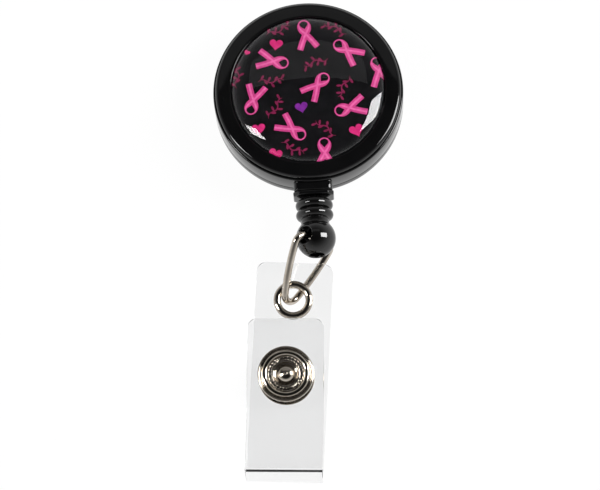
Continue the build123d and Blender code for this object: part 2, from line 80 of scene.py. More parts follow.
LABEL_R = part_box("label_disc")[1][0]
LABEL_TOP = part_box("label_disc")[1][2]
DOME_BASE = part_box("dome_lens")[0][2]
CORD_Z = ball_centre.z

# ---------------------------------------------------------------- mesh helpers


def new_mesh(name, verts, faces, smooth_angle=35):
    """A mesh object from points and faces, shaded smooth up to the given edge angle."""
    mesh = bpy.data.meshes.new(name)
    mesh.from_pydata([tuple(v) for v in verts], [], faces)
    mesh.validate()
    obj = bpy.data.objects.new(name, mesh)
    bpy.context.scene.collection.objects.link(obj)
    smooth(obj, smooth_angle)
    return obj


def smooth(obj, angle=35):
    """Smooth shading with edges sharper than angle left crisp."""
    mesh = obj.data
    mesh.polygons.foreach_set("use_smooth", [True] * len(mesh.polygons))
    work = bmesh.new()
    work.from_mesh(mesh)
    bmesh.ops.recalc_face_normals(work, faces=work.faces)
    for edge in work.edges:
        faces = edge.link_faces
        edge.smooth = len(faces) == 2 and faces[0].normal.angle(faces[1].normal, 0) < radians(angle)
    work.to_mesh(mesh)
    work.free()


def ring_faces(levels, count):
    """Faces of a closed solid through levels rings of count points each."""
    faces = [tuple(range(count - 1, -1, -1)), tuple(range((levels - 1) * count, levels * count))]
    for level in range(levels - 1):
        a, b = level * count, (level + 1) * count
        faces += [(a + k, a + (k + 1) % count, b + (k + 1) % count, b + k) for k in range(count)]
    return faces


def basis(origin, x_dir, z_dir):
    """Matrix that takes local points to the row frame."""
    z = z_dir.normalized()
    x = (x_dir - z * x_dir.dot(z)).normalized()
    y = z.cross(x)
    turn = Matrix((x, y, z)).transposed().to_4x4()
    return Matrix.Translation(origin) @ turn


def lathe(name, profile, place, segments=160, closed=True, smooth_angle=32):
    """Turns a profile of (radius, height) points round the local Z axis of place."""
    verts, faces, rings = [], [], []
    for radius, height in profile:
        count = 1 if radius < ON_AXIS else segments
        rings.append(range(len(verts), len(verts) + count))
        for k in range(count):
            angle = 2 * pi * k / segments
            verts.append(place @ Vector((radius * cos(angle), radius * sin(angle), height)))
    pairs = list(zip(rings, rings[1:]))
    if closed:
        pairs.append((rings[-1], rings[0]))
    for low, high in pairs:
        if len(low) == 1 and len(high) == 1:
            continue
        for k in range(segments):
            nxt = (k + 1) % segments
            if len(low) == 1:
                faces.append((low[0], high[k], high[nxt]))
            elif len(high) == 1:
                faces.append((low[k], low[nxt], high[0]))
            else:
                faces.append((low[k], low[nxt], high[nxt], high[k]))
    return new_mesh(name, verts, faces, smooth_angle)


def rounded(points, radii, steps=6, closed=True):
    """A polyline with each corner replaced by a circle arc; radii holds one radius per point."""
    out = []
    count = len(points)
    for k, point in enumerate(points):
        here = Vector(point)
        radius = radii[k] if isinstance(radii, (list, tuple)) else radii
        if radius <= 0 or (not closed and k in (0, count - 1)):
            out.append(tuple(here))
            continue
        before = (Vector(points[k - 1]) - here).normalized()
        after = (Vector(points[(k + 1) % count]) - here).normalized()
        half = before.angle(after) / 2
        cut = radius / tan(half)
        centre = here + (before + after).normalized() * radius / sin(half)
        first, last = here + before * cut - centre, here + after * cut - centre
        turn = first.angle(last)
        for i in range(steps + 1):
            t = i / steps
            out.append(tuple(centre + (first * sin((1 - t) * turn) + last * sin(t * turn)) / sin(turn)))
    return out


def subdivided(points, step, count=int):
    """The line through points with extra points about a step apart; count rounds a length in steps."""
    out = []
    for a, b in zip(points, points[1:]):
        pieces = max(1, count(dist(a, b) / step))
        out += [tuple(p + (q - p) * k / pieces for p, q in zip(a, b)) for k in range(pieces)]
    return out + [tuple(points[-1])]


def run_lengths(points):
    """The distance along the line at each of its points."""
    out = [0]
    for a, b in zip(points, points[1:]):
        out.append(out[-1] + dist(a, b))
    return out


def scaled(points):
    """Points in millimetres as points in metres."""
    return [tuple(c * MM for c in p) for p in points]


def apply_modifiers(obj):
    """Bakes the object's modifiers into its mesh."""
    bpy.context.view_layer.update()
    graph = bpy.context.evaluated_depsgraph_get()
    mesh = bpy.data.meshes.new_from_object(obj.evaluated_get(graph))
    obj.modifiers.clear()
    old = obj.data
    obj.data = mesh
    bpy.data.meshes.remove(old)


def boolean(obj, cutters, operation="DIFFERENCE"):
    """Cuts or joins each cutter, then removes it."""
    for cutter in cutters:
        mod = obj.modifiers.new("cut", "BOOLEAN")
        mod.object = cutter
        mod.operation = operation
        mod.solver = "EXACT"
        apply_modifiers(obj)
        bpy.data.objects.remove(cutter)


def cylinder(place, radius, low, high, segments=96):
    """A plain closed cylinder along the local Z axis of place, used as a cutter."""
    return lathe("cutter", [(0, low), (radius, low), (radius, high), (0, high)], place, segments, closed=False)


def tube(name, points, radius, sides):
    """A round tube along a list of points, its section carried along without twist."""
    pts = [Vector(p) for p in points]
    last = len(pts) - 1
    tangents = [(pts[min(k + 1, last)] - pts[max(k - 1, 0)]).normalized() for k in range(len(pts))]
    side = tangents[0].orthogonal().normalized()
    verts = []
    for here, along in zip(pts, tangents):
        side = (side - along * side.dot(along)).normalized()
        up = along.cross(side)
        for i in range(sides):
            angle = 2 * pi * i / sides
            verts.append(here + (side * cos(angle) + up * sin(angle)) * radius)
    return new_mesh(name, verts, ring_faces(len(pts), sides), 40)


# ---------------------------------------------------------------- materials


class Shader:
    """A Principled material with object-space noise that drives its roughness, bump and colour."""

    def __init__(self, name, color, roughness, metallic=0.0, ior=1.5):
        self.material = bpy.data.materials.new(name)
        self.material.use_nodes = True
        self.tree = self.material.node_tree
        self.tree.nodes.clear()
        self.out = self.node("ShaderNodeOutputMaterial")
        self.bsdf = self.node("ShaderNodeBsdfPrincipled")
        self.set(self.bsdf, "Base Color", (*color, 1))
        self.set(self.bsdf, "Roughness", roughness)
        self.set(self.bsdf, "Metallic", metallic)
        self.set(self.bsdf, "IOR", ior)
        self.link(self.bsdf.outputs["BSDF"], self.out.inputs["Surface"])
        self.coords = self.node("ShaderNodeTexCoord").outputs["Object"]
        self.height = None

    def node(self, kind):
        return self.tree.nodes.new(kind)

    def set(self, made, key, value):
        made.inputs[key].default_value = value

    def link(self, a, b):
        self.tree.links.new(a, b)

    def noise(self, per_mm, detail=3.0, rough=0.55, distortion=0.0, stretch=(1, 1, 1)):
        """A noise value whose features are 1 / per_mm millimetres across."""
        mapping = self.node("ShaderNodeMapping")
        mapping.inputs["Scale"].default_value = [per_mm / MM * s for s in stretch]
        self.link(self.coords, mapping.inputs["Vector"])
        tex = self.node("ShaderNodeTexNoise")
        self.set(tex, "Scale", 1.0)
        self.set(tex, "Detail", detail)
        self.set(tex, "Roughness", rough)
        self.set(tex, "Distortion", distortion)
        self.link(mapping.outputs["Vector"], tex.inputs["Vector"])
        return tex.outputs["Fac"]

    def remap(self, value, low, high, start=0.3, end=0.7):
        """value from start..end stretched to low..high."""
        made = self.node("ShaderNodeMapRange")
        for key, number in (("From Min", start), ("From Max", end), ("To Min", low), ("To Max", high)):
            self.set(made, key, number)
        self.link(value, made.inputs["Value"])
        return made.outputs["Result"]

    def vary_roughness(self, value, low, high):
        self.link(self.remap(value, low, high), self.bsdf.inputs["Roughness"])

    def vary_color(self, value, low, high, start=0.3, end=0.7):
        ramp = self.node("ShaderNodeValToRGB")
        ramp.color_ramp.elements[0].position = start
        ramp.color_ramp.elements[0].color = (*low, 1)
        ramp.color_ramp.elements[1].position = end
        ramp.color_ramp.elements[1].color = (*high, 1)
        self.link(value, ramp.inputs["Fac"])
        self.link(ramp.outputs["Color"], self.bsdf.inputs["Base Color"])

    def bump(self, value, depth_mm, strength=0.5):
        """Adds a relief of the given depth; calls stack."""
        made = self.node("ShaderNodeBump")
        self.set(made, "Strength", strength)
        self.set(made, "Distance", depth_mm * MM)
        self.link(value, made.inputs["Height"])
        if self.height is not None:
            self.link(self.height, made.inputs["Normal"])
        self.height = made.outputs["Normal"]
        self.link(self.height, self.bsdf.inputs["Normal"])

    def clear(self, tint, roughness):
        """Makes the material see-through, and lets light from lamps pass to what lies behind it."""
        self.set(self.bsdf, "Transmission Weight", 1.0)
        self.set(self.bsdf, "Base Color", (*tint, 1))
        self.set(self.bsdf, "Roughness", roughness)
        path = self.node("ShaderNodeLightPath")
        through = self.node("ShaderNodeBsdfTransparent")
        self.set(through, "Color", (*tint, 1))
        mix = self.node("ShaderNodeMixShader")
        self.link(path.outputs["Is Shadow Ray"], mix.inputs["Fac"])
        self.link(self.bsdf.outputs["BSDF"], mix.inputs[1])
        self.link(through.outputs["BSDF"], mix.inputs[2])
        self.link(mix.outputs["Shader"], self.out.inputs["Surface"])


def make_casing_black():
    """Polished black ABS with faint flow marks and fine handling scratches."""
    s = Shader("casing_black", (0.0025, 0.0025, 0.0027), 0.13, ior=1.43)
    s.vary_color(s.noise(0.12, detail=4), (0.0018, 0.0018, 0.002), (0.0034, 0.0034, 0.0036))
    s.vary_roughness(s.noise(0.35, detail=5, distortion=0.6), 0.03, 0.075)
    s.bump(s.noise(0.22, detail=2), 0.012, 0.35)
    s.bump(s.noise(1.0, detail=2, stretch=(9, 0.25, 9)), 0.0012, 0.25)
    return s.material


def make_ball_black():
    """Glossy black nylon, a little softer than the casing."""
    s = Shader("ball_black", (0.003, 0.003, 0.003), 0.12, ior=1.52)
    s.vary_color(s.noise(0.4, detail=3), (0.0018, 0.0018, 0.0018), (0.0036, 0.0035, 0.0034))
    s.vary_roughness(s.noise(0.8, detail=4), 0.04, 0.09)
    s.bump(s.noise(0.6, detail=2), 0.008, 0.25)
    return s.material


def make_nickel():
    """Warm bright nickel plate with drawn marks and slightly dulled patches."""
    s = Shader("nickel", (0.46, 0.41, 0.35), 0.14, metallic=1.0)
    s.vary_color(s.noise(0.5, detail=4), (0.44, 0.39, 0.33), (0.58, 0.53, 0.465))
    s.vary_roughness(s.noise(1.1, detail=5, distortion=0.4), 0.07, 0.14)
    s.bump(s.noise(0.9, detail=3), 0.0015, 0.2)
    return s.material


def make_clip_steel():
    """Nickel-plated spring steel with rolling lines along the strip."""
    s = Shader("clip_steel", (0.60, 0.59, 0.57), 0.22, metallic=1.0)
    s.vary_color(s.noise(0.3, detail=4), (0.52, 0.51, 0.49), (0.66, 0.65, 0.63))
    s.vary_roughness(s.noise(0.8, detail=4, stretch=(6, 0.3, 6)), 0.15, 0.32)
    s.bump(s.noise(1.5, detail=3, stretch=(6, 0.15, 6)), 0.002, 0.4)
    return s.material


def make_spring_steel():
    """Bare blued spring strip."""
    s = Shader("spring_steel", (0.38, 0.39, 0.42), 0.3, metallic=1.0)
    s.vary_color(s.noise(0.4, detail=4), (0.30, 0.31, 0.34), (0.46, 0.46, 0.48))
    s.vary_roughness(s.noise(1.0, detail=4), 0.2, 0.4)
    s.bump(s.noise(2.0, detail=3, stretch=(1, 1, 6)), 0.002, 0.4)
    return s.material


def make_vinyl():
    """Clear soft PVC, glossy, with shallow rolling waves."""
    s = Shader("vinyl_clear", (0.96, 0.965, 0.97), 0.04, ior=1.46)
    s.bump(s.noise(0.10, detail=2, stretch=(1, 0.5, 1)), 0.05, 0.3)
    s.bump(s.noise(0.9, detail=3), 0.002, 0.3)
    s.clear((0.93, 0.931, 0.932), 0.03)
    return s.material


def make_dome():
    """Cast clear polyurethane with a very slight swell in its surface."""
    s = Shader("dome_clear", (1, 1, 1), 0.0, ior=1.49)
    s.bump(s.noise(0.07, detail=1), 0.02, 0.25)
    s.clear((0.99, 0.99, 0.99), 0.01)
    return s.material


def make_print(name, low, high, per_mm=1.6):
    """Printed film: a solid colour broken by fine ink grain."""
    s = Shader(name, high, 0.45)
    s.set(s.bsdf, "Specular IOR Level", 0.0)
    s.vary_color(s.noise(per_mm, detail=5, rough=0.65), low, high)
    s.vary_roughness(s.noise(2.5, detail=3), 0.38, 0.55)
    s.bump(s.noise(6.0, detail=2), 0.001, 0.4)
    return s.material


def make_spool_white():
    """Natural white acetal with a faint mould texture."""
    s = Shader("spool_white", (0.72, 0.71, 0.68), 0.4)
    s.vary_color(s.noise(0.3, detail=4), (0.66, 0.65, 0.62), (0.76, 0.75, 0.72))
    s.vary_roughness(s.noise(1.0, detail=4), 0.32, 0.5)
    s.bump(s.noise(3.0, detail=3), 0.003, 0.4)
    return s.material


def make_cord():
    """Braided black nylon: crossing diagonal strands in relief."""
    s = Shader("cord_black", (0.012, 0.012, 0.013), 0.55)
    s.vary_color(s.noise(2.5, detail=4), (0.008, 0.008, 0.009), (0.024, 0.024, 0.026))
    s.vary_roughness(s.noise(3.0, detail=3), 0.45, 0.7)
    wave = s.node("ShaderNodeTexWave")
    wave.wave_type = "BANDS"
    wave.bands_direction = "DIAGONAL"
    s.set(wave, "Scale", 1.1 / MM)
    s.set(wave, "Distortion", 1.5)
    s.link(s.coords, wave.inputs["Vector"])
    s.bump(wave.outputs["Fac"], 0.05, 0.6)
    return s.material


def make_floor():
    """White light table: a softly glowing matt sheet."""
    s = Shader("light_table", (0.2, 0.2, 0.2), 0.9)
    s.set(s.bsdf, "Specular IOR Level", 0.0)
    s.vary_color(s.noise(0.02, detail=3), (0.027, 0.027, 0.027), (0.033, 0.033, 0.033))
    s.set(s.bsdf, "Emission Color", (1, 1, 1, 1))
    s.set(s.bsdf, "Emission Strength", 0.965)
    return s.material


CASING = make_casing_black()
BALL = make_ball_black()
NICKEL = make_nickel()
CLIP_STEEL = make_clip_steel()
SPRING_STEEL = make_spring_steel()
VINYL = make_vinyl()
DOME = make_dome()
SPOOL_WHITE = make_spool_white()
CORD = make_cord()
LABEL_BLACK = make_print("label_print", (0.0026, 0.0027, 0.003), (0.0052, 0.0053, 0.0058), 0.4)
RIBBON_PINK = make_print("ribbon_pink", (0.26, 0.022, 0.10), (0.40, 0.045, 0.165))
RIBBON_PALE = make_print("ribbon_pale", (0.38, 0.055, 0.17), (0.50, 0.10, 0.26))
HEART_RED = make_print("heart_magenta", (0.28, 0.011, 0.075), (0.40, 0.021, 0.12))
HEART_VIOLET = make_print("heart_violet", (0.075, 0.009, 0.12), (0.13, 0.018, 0.18))
FLOURISH = make_print("flourish_crimson", (0.085, 0.007, 0.028), (0.14, 0.013, 0.045))


def paint(obj, material):
    obj.data.materials.clear()
    obj.data.materials.append(material)


def finish_piece(obj, material, body, slot, *nodes):
    """Gives a piece its material and body, and hides the CAD nodes it stands for."""
    paint(obj, material)
    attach(obj, body)
    if nodes:
        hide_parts(*nodes)


# ---------------------------------------------------------------- camera, floor and light

# the view the object is shown from: elevation, azimuth and roll in degrees, distance in metres
VIEW_ELEVATION = 71.5
VIEW_AZIMUTH = -2.2
VIEW_ROLL = 5.2
VIEW_DISTANCE = 0.70
VIEW_LENS, VIEW_SENSOR = 254.0, 36
VIEW_NEAR, VIEW_FAR = 0.01, 20
AIM = Vector((-2.7, -25.2, 5.0)) * MM


def make_camera():
    azimuth, elevation, roll = radians(VIEW_AZIMUTH), radians(VIEW_ELEVATION), radians(VIEW_ROLL)
    back = Vector((-sin(azimuth) * cos(elevation), -cos(azimuth) * cos(elevation), sin(elevation)))
    right = Vector((cos(azimuth), -sin(azimuth), 0))
    up = back.cross(right)
    turned_right = right * cos(roll) - up * sin(roll)
    turned_up = right * sin(roll) + up * cos(roll)
    camera = bpy.data.objects.new("camera", bpy.data.cameras.new("camera"))
    camera.data.lens = VIEW_LENS
    camera.data.sensor_width = VIEW_SENSOR
    camera.data.clip_start = VIEW_NEAR
    camera.data.clip_end = VIEW_FAR
    turn = Matrix((turned_right, turned_up, back)).transposed().to_4x4()
    camera.matrix_world = Matrix.Translation(AIM + back * VIEW_DISTANCE) @ turn
    bpy.context.scene.collection.objects.link(camera)
    bpy.context.scene.camera = camera


def softbox(name, place, width, height, power, aim):
    data = bpy.data.lights.new(name, "AREA")
    data.shape = "RECTANGLE"
    data.size = width
    data.size_y = height
    data.energy = power
    lamp = bpy.data.objects.new(name, data)
    lamp.location = place
    lamp.rotation_euler = (Vector(aim) - Vector(place)).to_track_quat("-Z", "Y").to_euler()
    bpy.context.scene.collection.objects.link(lamp)


# brightness of the surroundings from table height (0) to straight above (1)
SKY = ((0, 0.9), (0.25, 0.75), (0.5, 0.4), (0.62, 0.26), (0.75, 0.12), (0.88, 0.02), (1, 0.015))
FLOOR_HALF = 1.5
# studio lights in metres and watts: name, place, width, height, power and the point each one faces
SOFTBOXES = (
    ("left_softbox", (-0.46, -0.10, 0.53), 0.12, 0.32, 2.2, (0, -0.01, 0)),
    ("right_softbox", (0.52, 0.03, 0.47), 0.27, 0.46, 7.2, (0, -0.01, 0)),
    ("back_softbox", (0, 0.36, 0.66), 0.6, 0.18, 0.09, (0, 0, 0)),
)


def make_world():
    """Light from all round at table height, falling to a dark ceiling."""
    world = bpy.data.worlds.new("studio")
    bpy.context.scene.world = world
    world.use_nodes = True
    tree = world.node_tree
    tree.nodes.clear()
    out = tree.nodes.new("ShaderNodeOutputWorld")
    back = tree.nodes.new("ShaderNodeBackground")
    coords = tree.nodes.new("ShaderNodeTexCoord")
    split = tree.nodes.new("ShaderNodeSeparateXYZ")
    ramp = tree.nodes.new("ShaderNodeValToRGB")
    tree.links.new(coords.outputs["Generated"], split.inputs["Vector"])
    tree.links.new(split.outputs["Z"], ramp.inputs["Fac"])
    tree.links.new(ramp.outputs["Color"], back.inputs["Color"])
    tree.links.new(back.outputs["Background"], out.inputs["Surface"])
    back.inputs["Strength"].default_value = 1.0
    stops = ramp.color_ramp.elements
    for height, _ in SKY[1:-1]:
        stops.new(height)
    for stop, (_, level) in zip(stops, SKY):
        stop.color = (level, level, level, 1)


def make_stage():
    verts = [(x * FLOOR_HALF, y * FLOOR_HALF, 0) for x, y in ((-1, -1), (1, -1), (1, 1), (-1, 1))]
    floor = new_mesh("floor", verts, [(0, 1, 2, 3)])
    floor.data.materials.append(make_floor())


make_camera()
make_world()
make_stage()
for light in SOFTBOXES:
    softbox(*light)
bpy.context.scene.view_settings.view_transform = "Standard"


# ---------------------------------------------------------------- casing

# outlines as (radius, height) in millimetres; heights are the row frame's own
AXIS = Matrix.Identity(4)
FRONT_PROFILE = [
    ((0, 10.2), 0), ((12.85, 10.2), 0.08), ((12.85, 10.8), 0.16), ((15.45, 10.66), 0.65), ((15.45, 10.05), 0.06),
    ((15.2, 10.05), 0.06), ((15.2, 9.8), 0.06), ((15.8, 9.8), 0.26), ((15.8, 5.84), 0.1), ((15.1, 5.84), 0),
    ((15.1, 6.45), 0), ((14.6, 6.45), 0), ((14.6, 9.0), 0.4), ((0, 9.0), 0),
]
BACK_PROFILE = [
    ((1.02, 3.7), 0.1), ((15.8, 3.7), 0.8), ((15.8, 5.78), 0.1), ((15.05, 5.78), 0), ((15.05, 6.4), 0.1),
    ((14.6, 6.4), 0), ((14.6, 4.8), 0.3), ((1.9, 4.8), 0.2), ((1.9, 8.85), 0.15), ((1.02, 8.85), 0),
]
DOME_R = 12.7
DOME_EDGE = 0.15
DOME_RISE = 2.2
TAB_HALF_W = 3.2
TAB_LOW, TAB_TOP = 3.95, 9.2
TAB_END = 17.0
TAB_ROOT = 15.05
TAB_CORNER = 0.8
SEAM_TOP, SEAM_LOW = 5.84, 5.78
COLLAR_HALF_W, COLLAR_HALF_H, COLLAR_CHAMFER = 3.35, 2.45, 0.9
COLLAR_START, COLLAR_END = 17.02, 17.72
GUIDE_R, GUIDE_BORE, GUIDE_START = 1.4, 0.55, 15.1
EASE = 0.02                 # room round a part that fills a hole
SHELL_STEPS = 256

cord_place = basis(Vector((0, 0, CORD_Z)), Vector((1, 0, 0)), Vector((0, -1, 0)))


def profile(points):
    return scaled(rounded([p for p, _ in points], [r for _, r in points]))


def loft(name, rings, place):
    """A closed solid through rings of (x, y, z) points given in place's own axes, in millimetres."""
    verts = [place @ (Vector(p) * MM) for ring in rings for p in ring]
    return new_mesh(name, verts, ring_faces(len(rings), len(rings[0])), 32)


def box_outline(half_w, low, high, corner):
    """A rectangle with rounded corners, the same number of points whatever its size."""
    corners = [(-half_w, low), (half_w, low), (half_w, high), (-half_w, high)]
    return rounded(corners, max(corner, 0.02), steps=8)


def soft_block(name, place, outline_at, start, end, edge_start, edge_end, steps=5):
    """A block from start to end along place's Z whose end edges are rounded; outline_at(inset) gives its section."""

    def edge(at, size, inward):
        if size <= 0:
            return [(at, 0)]
        turns = [pi / 2 * k / steps for k in range(steps + 1)]
        return [(at + inward * size * (1 - sin(turn)), size * (1 - cos(turn))) for turn in turns]

    levels = edge(start, edge_start, 1)[::-1] + edge(end, edge_end, -1)
    rings = [[(x, y, z) for x, y in outline_at(inset)] for z, inset in levels]
    return loft(name, rings, place)


def tab_outline(inset):
    return box_outline(TAB_HALF_W - inset, TAB_LOW - CORD_Z / MM + inset, TAB_TOP - CORD_Z / MM - inset,
                       TAB_CORNER - inset)


def tab_half(upper):
    """The half of the nozzle block that belongs to one shell."""
    block = soft_block("nozzle", cord_place, tab_outline, TAB_ROOT, TAB_END, 0, 0.22)
    limit = SEAM_TOP if upper else SEAM_LOW
    heights = (limit - 20, limit) if upper else (limit, limit + 20)
    around = [(-10, -20), (10, -20), (10, 0), (-10, 0)]
    boolean(block, [loft("cutter", [[(x, y, z) for x, y in around] for z in heights], AXIS)])
    return block


def guide_seat():
    """Cutter for the round seat that the cord guide's barrel fills."""
    return cylinder(cord_place, (GUIDE_R + EASE) * MM, 12 * MM, 20 * MM, 64)


for shell, points, upper in (("front_shell", FRONT_PROFILE, True), ("back_shell", BACK_PROFILE, False)):
    half = lathe(shell + "_body", profile(points), AXIS, SHELL_STEPS, closed=not upper)
    boolean(half, [tab_half(upper)], "UNION")
    boolean(half, [guide_seat()])
    smooth(half, 32)
    finish_piece(half, CASING, "casing", "casing_black", shell)


def collar_outline(inset):
    w, h = COLLAR_HALF_W - inset, COLLAR_HALF_H - inset
    c = COLLAR_CHAMFER
    points = [(-w + c, -h), (w - c, -h), (w, -h + c), (w, h - c), (w - c, h), (-w + c, h), (-w, h - c), (-w, -h + c)]
    return rounded(points, 0.25, steps=4)


guide = soft_block("cord_guide_body", cord_place, collar_outline, COLLAR_START, COLLAR_END, 0.1, 0.3)
boolean(guide, [cylinder(cord_place, GUIDE_R * MM, GUIDE_START * MM, (COLLAR_START + 0.3) * MM, 64)], "UNION")
MOUTH = [(0, 10), (GUIDE_BORE, 10), (GUIDE_BORE, COLLAR_END - 0.35), (GUIDE_BORE + 0.09, COLLAR_END - 0.13),
         (GUIDE_BORE + 0.3, COLLAR_END + 0.01), (GUIDE_BORE + 0.3, 20), (0, 20)]
boolean(guide, [lathe("cutter", scaled(MOUTH), cord_place, 48, closed=False)])
smooth(guide, 32)
finish_piece(guide, CASING, "casing", "casing_black", "cord_guide")

# ---------------------------------------------------------------- label, dome


def ramp(t):
    t = min(max(t, 0), 1)
    return t * t * (3 - 2 * t)


def bezier(p0, p1, p2, p3, steps):
    return [tuple(a * (1 - t) ** 3 + 3 * b * t * (1 - t) ** 2 + 3 * c * t * t * (1 - t) + d * t ** 3
                  for a, b, c, d in zip(p0, p1, p2, p3)) for t in (k / steps for k in range(steps + 1))]


def make_dome_lens():
    base = DOME_BASE / MM
    edge, top = base + DOME_EDGE, base + DOME_RISE
    # the cast resin is bonded to the label, so it has no underside of its own
    outline = [(DOME_R - 0.03, LABEL_TOP / MM + 0.002), (DOME_R, base + 0.06)]
    outline += bezier((DOME_R, edge), (DOME_R - 0.2, edge + 1.05), (9.3, top), (0, top), 56)
    return lathe("dome_body", scaled(outline), AXIS, 256, closed=False, smooth_angle=60)


finish_piece(make_dome_lens(), DOME, "casing", "dome_clear", "dome_lens")

# printed art, in millimetres from the label's centre
ART_LIFT = 0.010
ART_STEP = 0.005
PRINT_R = LABEL_R / MM - 0.03
# looped ribbons: place and the heading of the loop, in degrees
RIBBONS = [(0.1, 9.5, 99), (6.8, 6.3, 139), (-5.6, 5.2, -15), (1.5, 0.4, 47), (11.8, 2.4, 100), (-9.0, -1.3, 253),
           (6.8, -3.7, 194), (-3.0, -6.8, -39), (2.2, -11.3, 90)]
# hearts: place, heading and width
RED_HEARTS = [(-4.9, 8.0, 80, 2.2), (7.6, -7.7, 110, 2.3), (-8.4, -6.6, 95, 2.2), (-5.9, -11.0, 70, 2.2),
              (-9.7, 7.0, 60, 1.0)]
VIOLET_HEARTS = [(-1.2, -3.3, 100, 2.1)]
# leafy scrolls: place and heading
SCROLLS = [(-6.0, 1.7, 0), (1.5, 4.6, 195), (5.9, 0.1, 240), (-5.5, -3.1, 55), (2.6, -7.0, 140), (-3.0, -10.1, -30),
           (-4.4, 10.6, 20), (5.0, 10.4, 150), (-11.5, 3.0, 85)]
RIBBON_LINE = [(-1.45, -2.45), (-0.75, -1.1), (0.0, 0.15), (0.62, 1.05), (0.86, 1.75), (0.62, 2.35), (0.0, 2.6),
               (-0.62, 2.35), (-0.86, 1.75), (-0.62, 1.05), (0.0, 0.15), (0.75, -1.1), (1.45, -2.45)]


def art_place(x, y, heading):
    """Local +Y of a motif points along its heading."""
    turn = radians(heading - 90)
    return lambda px, py: (x + px * cos(turn) - py * sin(turn), y + px * sin(turn) + py * cos(turn))


def smooth_line(points, steps=6):
    """A Catmull-Rom curve through the points."""
    out = []
    for k in range(len(points) - 1):
        p = [Vector(points[min(max(k + i, 0), len(points) - 1)]) for i in (-1, 0, 1, 2)]
        for i in range(steps):
            t = i / steps
            out.append((p[1] * 2 + (p[2] - p[0]) * t + (p[0] * 2 - p[1] * 5 + p[2] * 4 - p[3]) * t * t
                        + (p[1] * 3 - p[0] - p[2] * 3 + p[3]) * t ** 3) / 2)
    return out + [Vector(points[-1])]


class Art:
    """Flat printed shapes of one ink, gathered into one thin mesh."""

    def __init__(self):
        self.verts, self.faces = [], []

    def stroke(self, line, place, width_at, lift):
        """A band along a line; the line's later part lies a hair above its earlier part."""
        start = len(self.verts)
        count = len(line)
        for k, point in enumerate(line):
            ahead = (line[min(k + 1, count - 1)] - line[max(k - 1, 0)]).normalized()
            side = Vector((-ahead.y, ahead.x)) * width_at(k / (count - 1)) / 2
            rise = lift + ART_STEP * 0.5 * k / (count - 1)
            for sign in (1, -1):
                x, y = place(*(point + side * sign))
                self.verts.append((x, y, rise))
        for k in range(count - 1):
            a = start + 2 * k
            self.faces.append((a, a + 1, a + 3, a + 2))

    def patch(self, outline, place, lift):
        start = len(self.verts)
        self.verts += [(*place(x, y), lift) for x, y in outline]
        self.faces.append(tuple(range(start, len(self.verts))))

    def build(self, name, material):
        work = bmesh.new()
        points = [work.verts.new(Vector((x, y, LABEL_TOP / MM + z)) * MM) for x, y, z in self.verts]
        for face in self.faces:
            work.faces.new([points[k] for k in face])
        # trimmed to the label's round edge
        sides = 96
        for k in range(sides):
            away = Vector((cos(2 * pi * k / sides), sin(2 * pi * k / sides), 0))
            geometry = work.verts[:] + work.edges[:] + work.faces[:]
            bmesh.ops.bisect_plane(work, geom=geometry, plane_co=away * PRINT_R * MM, plane_no=away, clear_outer=True)
        for face in work.faces:
            if face.normal.z < 0:
                face.normal_flip()
        bmesh.ops.triangulate(work, faces=work.faces[:])
        mesh = bpy.data.meshes.new(name)
        work.to_mesh(mesh)
        work.free()
        obj = bpy.data.objects.new(name, mesh)
        bpy.context.scene.collection.objects.link(obj)
        finish_piece(obj, material, "casing", "label_print")


def heart_outline(width, count=48):
    size = width / 32
    turns = [2 * pi * k / count for k in range(count)]
    return [(16 * size * sin(t) ** 3, size * (13 * cos(t) - 5 * cos(2 * t) - 2 * cos(3 * t) - cos(4 * t) + 2))
            for t in turns]


def leaf_outline(x, y, heading, length, width, count=16):
    turn = radians(heading)
    out = []
    for k in range(count):
        t = 2 * pi * k / count
        along, across = length * (1 - cos(t)) / 2, width / 2 * sin(t) * sin(t / 2) ** 0.5
        out.append((x + along * cos(turn) - across * sin(turn), y + along * sin(turn) + across * cos(turn)))
    return out


def print_label():
    band, core, red, violet, scroll = Art(), Art(), Art(), Art(), Art()
    line = smooth_line(RIBBON_LINE)

    def wide(t):
        """Wide tails, drawn thin round the far side of the loop where the ribbon turns edge on."""
        return 0.24 + 0.78 * ramp((abs(t - 0.5) - 0.1) / 0.2)

    for x, y, heading in RIBBONS:
        place = art_place(x, y, heading)
        lift = ART_LIFT + ART_STEP * 2
        band.stroke(line, place, wide, lift)
        core.stroke(line, place, lambda t: 0.3 * wide(t), lift + ART_STEP)
    for ink, hearts in ((red, RED_HEARTS), (violet, VIOLET_HEARTS)):
        for x, y, heading, width in hearts:
            ink.patch(heart_outline(width), art_place(x, y, heading), ART_LIFT + ART_STEP)
    for x, y, heading in SCROLLS:
        place = art_place(x, y, heading + 90)
        vine = [Vector((-2.1 + 4.2 * k / 30, 0.32 * sin(2 * pi * k / 20))) for k in range(31)]
        scroll.stroke(vine, place, lambda t: 0.07 + 0.16 * sin(pi * t), ART_LIFT)
        for k in (3, 7, 11, 15, 19, 23, 27):
            stem = vine[k]
            heading_in = 58 if k % 8 == 3 else -58
            scroll.patch(leaf_outline(stem.x, stem.y, heading_in, 0.95, 0.46), place, ART_LIFT)
    band.build("label_ribbons", RIBBON_PINK)
    core.build("label_ribbon_sheen", RIBBON_PALE)
    red.build("label_hearts", HEART_RED)
    violet.build("label_violet_heart", HEART_VIOLET)
    scroll.build("label_scrolls", FLOURISH)


print_label()
paint(frame["nodes"]["label_disc"], LABEL_BLACK)

# ---------------------------------------------------------------- ball end, knot, loop and cord

